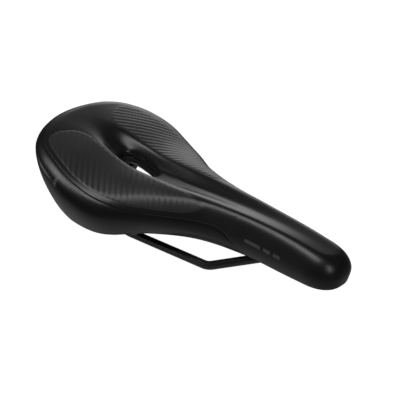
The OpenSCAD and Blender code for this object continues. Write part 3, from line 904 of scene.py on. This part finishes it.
@dataclass
class Grips:
    """Grip zones: ribs that slant over each wing and fade out at the zone's border."""

    front_x: float = 43.6
    side_cols: int = 190
    tail_turn: float = 56.25
    tail_cols: int = 72
    rows: int = 72
    seam_gap: float = 0.1
    lift: float = 0.28
    lift_from: float = 20
    lift_len: float = 30
    crest_gap: float = 1.5
    tip_x: float = 44
    tip_len: float = 30
    tip_high: float = 0.06
    corner: float = 14
    rib_pitch: float = 4.5
    rib_angle: float = 40.7
    rib_high: float = 0.2
    rib_end: float = 38
    rib_fade: float = 34
    border: float = 1.8
    border_fade: float = 2
    sink: float = 0.1
    raise_by: float = 0.25
    raise_over: float = 4
    thickness: float = 0.3

    def build(self) -> None:
        """Makes and mounts both zones."""
        q = np.radians(np.linspace(0, self.tail_turn, self.tail_cols))
        c = SEAT.columns(np.concatenate([
            np.linspace(self.front_x, SEAT.tail_x0, self.side_cols, endpoint=False),
            SEAT.tail_x0 - SEAT.tail_len * np.sin(q)]))
        t = self.places(c)
        flat = SEAT.skin(c, t, 0)
        edge = self.to_border(run_along(*SEAT.section(c, t)), flat)
        raised = self.raise_by * ease(edge / self.raise_over)
        ribs = self.rib_high * self.wave(flat) * self.strength(c, edge)
        right = SEAT.skin(c, t, self.sink - raised - ribs)
        for side, points in (("right", right), ("left", mirrored(right))):
            grip = cloth_grid(f"ribbed_grip_{side}", points)
            turn(grip, up=True)
            apply_modifier(grip, "SOLIDIFY", thickness=self.thickness * MM, offset=-1,
                           use_rim=True)
            finish_piece(grip, Slot.GRIP, f"grip_panel_{side}", sharp=80)

    def places(self, c: Columns) -> Array:
        """Places of the zone's rows on each section, from the seam to beside the crest.

        Args:
            c: The zone's columns.

        Returns:
            One row of places for each column.
        """
        x, run = c.x, c.length
        low = (SEAT.seam_t(c) + self.seam_gap
               + self.lift * ease((x - self.lift_from) / self.lift_len))
        ew = np.minimum(SEAT.edge_w.at(x), SEAT.edge_share * run)
        inner = SEAT.crest_y.at(x) - self.crest_gap - SEAT.hole_w(x)
        full = 2 + np.maximum(0, (run - inner - ew) / (run - ew))
        tip = np.sqrt(((self.tip_x - x) / self.tip_len).clip(0, 1))
        high = low + self.tip_high + (full - low - self.tip_high) * tip
        return low[:, None] + (high - low)[:, None] * np.linspace(0, 1, self.rows + 1)[None, :]

    def to_border(self, arc: Array, flat: Array) -> Array:
        """Distance to the zone's border, whose corners are round.

        Args:
            arc: Distance along each section from the zone's lower edge.
            flat: The zone's points before it has ribs.

        Returns:
            The distance in mm.
        """
        edge = np.minimum(arc, arc[:, -1:] - arc)
        rear = np.linalg.norm(flat - flat[-1:], axis=-1)
        front = np.linalg.norm(flat - flat[:1], axis=-1)
        ends = np.minimum(rear, front)
        near = (edge < self.corner) & (ends < self.corner)
        rounded = self.corner - np.hypot(self.corner - edge, self.corner - ends)
        return np.where(near, rounded, np.minimum(edge, ends)).clip(0)

    def wave(self, flat: Array) -> Array:
        """The ribs' wave, 0 in a valley and 1 on a rib.

        Args:
            flat: The zone's points before it has ribs.

        Returns:
            The wave at each point.
        """
        a = math.radians(self.rib_angle)
        along = flat[..., 0] * math.cos(a) - np.abs(flat[..., 1]) * math.sin(a)
        return 0.5 + 0.5 * np.cos(2 * np.pi * (along / self.rib_pitch))

    def strength(self, c: Columns, edge: Array) -> Array:
        """Share of the ribs' height, 0 along the border and towards the nose."""
        fade = ease((self.rib_end - c.x) / self.rib_fade)[:, None]
        return ease((edge - self.border) / self.border_fade) * fade

# -------- shell
@dataclass
class Shell:
    """Nylon shell with its stiffening ribs, and the sleeve of the relief opening."""

    counts: Counts = (24, 60, 40, 48)
    rows: int = 26
    rib_t: float = 1.3
    rib_h: float = 2.6
    rib_root: float = 0.3
    rib_taper: float = 0.7
    cross_x: tuple[float, ...] = (128, 92, 74, 56, 38, 20, 2, -14, -80, -96)
    cross_share: Pair = (0.12, 0.995)
    cross_points: int = 16
    long_share: Pair = (0.3, 0.62)
    long_x: Pair = (132, -92)
    long_points: int = 64
    liner_points: int = 97
    liner_gap: float = 0.3
    liner_bore: float = 1.5
    liner_top: float = 5.2
    liner_lip: float = 1.4

    def build(self) -> None:
        """Makes and mounts the shell and the sleeve."""
        self.make_shell()
        self.make_liner()

    def make_shell(self) -> None:
        """Shell: the arch with lengthwise and cross ribs below."""
        c = SEAT.columns(SEAT.full_run(*self.counts))
        u = np.tile(np.linspace(0, 1, self.rows + 1) ** ARCH_CROWD, (len(c.x), 1))
        shell = cloth_grid("ribbed_shell", full_ring(SEAT.shell_skin(c, u, 0)))
        drop_middle(shell)
        face_outward(shell)
        apply_modifier(shell, "SOLIDIFY", thickness=SEAT.shell_t * MM, offset=-1, use_rim=True)
        parts = []
        for x in self.cross_x:
            v = np.linspace(*self.cross_share, self.cross_points)[None, :]
            parts += self.rib(np.array([float(x)]), v, np.array([1.0, 0, 0]))
        for share in self.long_share:
            v = np.full((self.long_points, 1), share)
            parts += self.rib(np.linspace(*self.long_x, self.long_points), v,
                              np.array([0, 1.0, 0]))
        pick(shell)
        for part in parts:
            part.select_set(True)
        bpy.ops.object.join()
        finish_piece(shell, Slot.NYLON, "base_shell", sharp=35)

    def rib(self, x: Array, v: Array, wide: Array) -> list[bpy.types.Object]:
        """One rib under the shell and its mirror image.

        Args:
            x: Places of the rib's columns.
            v: Places on each column's arch.
            wide: Direction of the rib's thickness.

        Returns:
            Both pieces, to be joined to the shell.
        """
        c = SEAT.columns(x)
        base = SEAT.shell_skin(c, v, SEAT.shell_t - self.rib_root).reshape(-1, 3)
        foot = SEAT.shell_skin(c, v, SEAT.shell_t + self.rib_h).reshape(-1, 3)
        h = self.rib_t / 2 * wide
        thin = self.rib_taper * h
        loop = np.stack([base - h, foot - thin, foot + thin, base + h, base - h], 1)
        made = []
        for points in (loop, loop * MIRROR_Y):
            made.append(cloth_grid("rib", points))
            face_outward(made[-1])
        return made

    def make_liner(self) -> None:
        """Sleeve of the relief opening, with a rolled lower lip."""
        mid, reach = SEAT.hole_mid, SEAT.hole_reach
        a = np.linspace(0, 2 * np.pi, self.liner_points)
        x = mid + reach * np.cos(a)
        w = SEAT.hole_w(x) * np.where(a < np.pi, 1, -1)
        top = SEAT.top_z(x, 0 * x) - self.liner_top
        foot = SEAT.arch_top(x) - SEAT.shell_t - self.liner_lip

        def hoop(inset: float, z: Array) -> Array:
            """One hoop of the sleeve, set in from the opening's edge."""
            k, m = (reach - inset) / reach, (SEAT.hole_half - inset) / SEAT.hole_half
            return np.stack([mid + reach * np.cos(a) * k, w * m, z], -1)

        out, bore = self.liner_gap, self.liner_bore
        hoops = [hoop(out, top), hoop(0.55, top + 0.35), hoop(1.25, top + 0.3),
                 hoop(bore, top - 0.2), hoop(bore, (top + foot) / 2),
                 hoop(bore, foot + self.liner_lip), hoop(2.3, foot + 0.7), hoop(2.2, foot),
                 hoop(0.9, foot), hoop(out, foot + 0.5), hoop(out, top)]
        liner = cloth_grid("opening_sleeve", np.stack(hoops, 1))
        face_outward(liner)
        finish_piece(liner, Slot.NYLON, "relief_liner", sharp=50)


# -------- rail and its fixings
@dataclass
class Undercarriage:
    """Rail, sockets, clips, screws, inserts and staples."""

    bevel: float = 0.7
    bevel_from: float = 50
    flat_within: float = 1

    def build(self) -> None:
        """Dresses the metal nodes and softens the moulded ones."""
        for name, slot in (("rail", Slot.RAIL), ("rear_clip_screws", Slot.SCREW),
                           ("rear_clip_inserts", Slot.BRASS), ("nose_clip_screws", Slot.SCREW),
                           ("nose_clip_inserts", Slot.BRASS), ("hem_staples", Slot.SCREW),
                           ("comfort_inlay_right", Slot.GEL), ("comfort_inlay_left", Slot.GEL)):
            dress(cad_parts[name], slot)
        for name in ("rear_socket_right", "rear_socket_left", "rear_clip_right",
                     "rear_clip_left", "nose_socket", "nose_clip"):
            self.soften(name)

    def soften(self, name: str) -> None:
        """Copies a moulded node and rounds its edges.

        Args:
            name: The node's name.
        """
        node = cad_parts[name]
        copy = node.copy()
        copy.data = node.data.copy()
        copy.name = copy.data.name = f"{name}_moulded"
        copy.parent = None
        bpy.context.scene.collection.objects.link(copy)
        with all_selected(copy):
            bpy.ops.mesh.remove_doubles(threshold=MERGE)
            bpy.ops.mesh.dissolve_limited(angle_limit=math.radians(self.flat_within))
        apply_modifier(copy, "BEVEL", width=self.bevel * MM, segments=2, limit_method="ANGLE",
                       angle_limit=math.radians(self.bevel_from), use_clamp_overlap=True)
        apply_modifier(copy, "TRIANGULATE")
        finish_piece(copy, Slot.NYLON, name, sharp=50)


# -------- studio
@dataclass(frozen=True)
class Lamp:
    """One soft box: its name, place in metres, width and height, and watts."""

    name: str
    place: Triple
    size: Pair
    power: float


@dataclass
class Studio:
    """Floor, backdrop, soft boxes and the camera."""

    azimuth: float = 0.711
    elevation: float = 0.47
    roll: float = 0.004
    distance: float = 1.018
    lens: float = 117.6
    sensor: float = 36
    near_clip: float = 0.05
    aim: Triple = (0.010, 0, 0.025)
    shift: Pair = (0.00412, 0.01080)
    backdrop: Triple = (-0.53, 0.80, 0.27)
    backdrop_ramp: Quad = (0.92, 1.0, 0.03, 2.0)
    backdrop_seen: float = 1.2
    floor_size: float = 60
    floor_gap: float = 0.0002
    floor_color: float = 0.15
    floor_rough: float = 0.9
    floor_specular: float = 0.1
    floor_seen: float = 1.0
    # painted pool of light: the floor glows 0.22 within 8 cm of its middle, under the saddle,
    # fading to 0.02 by 24 cm, for all rays but the camera's
    floor_glow_ramp: Quad = (0.08, 0.24, 0.22, 0.02)
    lamp_aim: Triple = (0.0, 0, 0.03)
    lamps: tuple[Lamp, ...] = (Lamp("overhead", (-0.2, -0.48, 1.22), (0.9, 0.5), 7),
                               Lamp("side", (-1.3, -1.0, 0.3), (0.6, 0.5), 3),
                               Lamp("front", (1.5, -0.6, 1.1), (0.8, 0.8), 6))

    def build(self) -> None:
        """Sets the stage."""
        self.make_floor()
        self.make_world()
        for lamp in self.lamps:
            self.hang(lamp)
        self.make_camera()

    def ramp(self, tree: bpy.types.NodeTree, value: bpy.types.NodeSocket,
             ends: Quad) -> bpy.types.NodeSocket:
        """Smooth ramp: from the first two ends to the last two.

        Args:
            tree: Where the node goes.
            value: The socket that runs the ramp.
            ends: The value's two ends and the level at each.

        Returns:
            The level.
        """
        node = tree.nodes.new("ShaderNodeMapRange")
        node.interpolation_type = "SMOOTHSTEP"
        for key, level in zip(("From Min", "From Max", "To Min", "To Max"), ends):
            node.inputs[key].default_value = level
        tree.links.new(value, node.inputs["Value"])
        return node.outputs["Result"]

    def for_camera(self, tree: bpy.types.NodeTree, seen: float,
                   other: bpy.types.NodeSocket) -> bpy.types.NodeSocket:
        """One level for the camera's own rays and another for all other rays.

        Args:
            tree: Where the nodes go.
            seen: The level that the camera sees.
            other: The level that lights the saddle and shows in its gloss.

        Returns:
            The colour.
        """
        light = tree.nodes.new("ShaderNodeLightPath")
        mix = tree.nodes.new("ShaderNodeMix")
        mix.data_type = "RGBA"
        mix.inputs[MIX_HIGH].default_value = (seen,) * 3 + (1,)
        tree.links.new(other, mix.inputs[MIX_LOW])
        tree.links.new(light.outputs["Is Camera Ray"], mix.inputs[0])
        return mix.outputs[MIX_COLOR]

    def make_floor(self) -> None:
        """Wide floor that the rail stands on: white to the camera; to all other rays it glows, a
        painted pool of light under the saddle that fades outward and shows in its gloss.
        """
        deselect()
        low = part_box("rail")[0][2]
        bpy.ops.mesh.primitive_plane_add(size=self.floor_size,
                                         location=(0, 0, low - self.floor_gap))
        floor = bpy.context.object
        floor.name = "floor"
        mat = bpy.data.materials.new("pale floor")
        mat.use_nodes = True
        tree = mat.node_tree
        shader = tree.nodes["Principled BSDF"]
        shader.inputs["Base Color"].default_value = (self.floor_color,) * 3 + (1,)
        shader.inputs["Roughness"].default_value = self.floor_rough
        shader.inputs["Specular IOR Level"].default_value = self.floor_specular
        shader.inputs["Emission Strength"].default_value = 1.0
        place = tree.nodes.new("ShaderNodeTexCoord")
        reach = tree.nodes.new("ShaderNodeVectorMath")
        reach.operation = "LENGTH"
        tree.links.new(place.outputs["Object"], reach.inputs[0])
        # painted pool of light: glow by distance from the floor's middle, brightest under the
        # saddle where its shadow falls
        near = self.ramp(tree, reach.outputs["Value"], self.floor_glow_ramp)
        glow = self.for_camera(tree, self.floor_seen, near)
        tree.links.new(glow, shader.inputs["Emission Color"])
        floor.data.materials.append(mat)

    def make_world(self) -> None:
        """Backdrop: white to the camera; in the gloss bright behind and dim elsewhere."""
        world = bpy.data.worlds.new("studio")
        bpy.context.scene.world = world
        world.use_nodes = True
        tree = world.node_tree
        place = tree.nodes.new("ShaderNodeTexCoord")
        along = tree.nodes.new("ShaderNodeVectorMath")
        along.operation = "DOT_PRODUCT"
        along.inputs[1].default_value = self.backdrop
        tree.links.new(place.outputs["Generated"], along.inputs[0])
        bright = self.ramp(tree, along.outputs["Value"], self.backdrop_ramp)
        color = self.for_camera(tree, self.backdrop_seen, bright)
        tree.links.new(color, tree.nodes["Background"].inputs["Color"])

    def hang(self, soft_box: Lamp) -> None:
        """Hangs one soft box that looks at the saddle.

        Args:
            soft_box: What to hang and where.
        """
        bpy.ops.object.light_add(type="AREA", location=soft_box.place)
        lamp = bpy.context.object
        lamp.name = soft_box.name
        lamp.data.shape = "RECTANGLE"
        lamp.data.size, lamp.data.size_y = soft_box.size
        lamp.data.energy = soft_box.power
        aim = Vector(self.lamp_aim) - Vector(soft_box.place)
        lamp.rotation_mode = "QUATERNION"
        lamp.rotation_quaternion = aim.to_track_quat("-Z", "Y")

    def make_camera(self) -> None:
        """Camera ahead of the saddle, on its right and above it."""
        a, e = self.azimuth, self.elevation
        right = Vector((math.cos(a), math.sin(a), 0))
        up = Vector((-math.sin(a) * math.sin(e), math.cos(a) * math.sin(e), math.cos(e)))
        back = right.cross(up)
        bpy.ops.object.camera_add()
        cam = bpy.context.object
        cam.data.lens = self.lens
        cam.data.sensor_width = self.sensor
        cam.data.clip_start = self.near_clip
        axes = Matrix((right, up, back)).transposed()
        cam.rotation_mode = "QUATERNION"
        cam.rotation_quaternion = (axes @ Matrix.Rotation(self.roll, 3, "Z")).to_quaternion()
        cam.location = (Vector(self.aim) + right * self.shift[0] + up * self.shift[1]
                        + back * self.distance)
        bpy.context.scene.camera = cam
        bpy.context.scene.view_settings.view_transform = "Standard"


def main() -> None:
    """Builds the saddle and its studio in order."""
    logging.basicConfig(level=logging.INFO, format="%(message)s")
    for part in (SeatPad(), Shell(), Undercarriage(), Studio()):
        part.build()
        log.info("%s done", type(part).__name__)


if __name__ == "__main__":
    main()
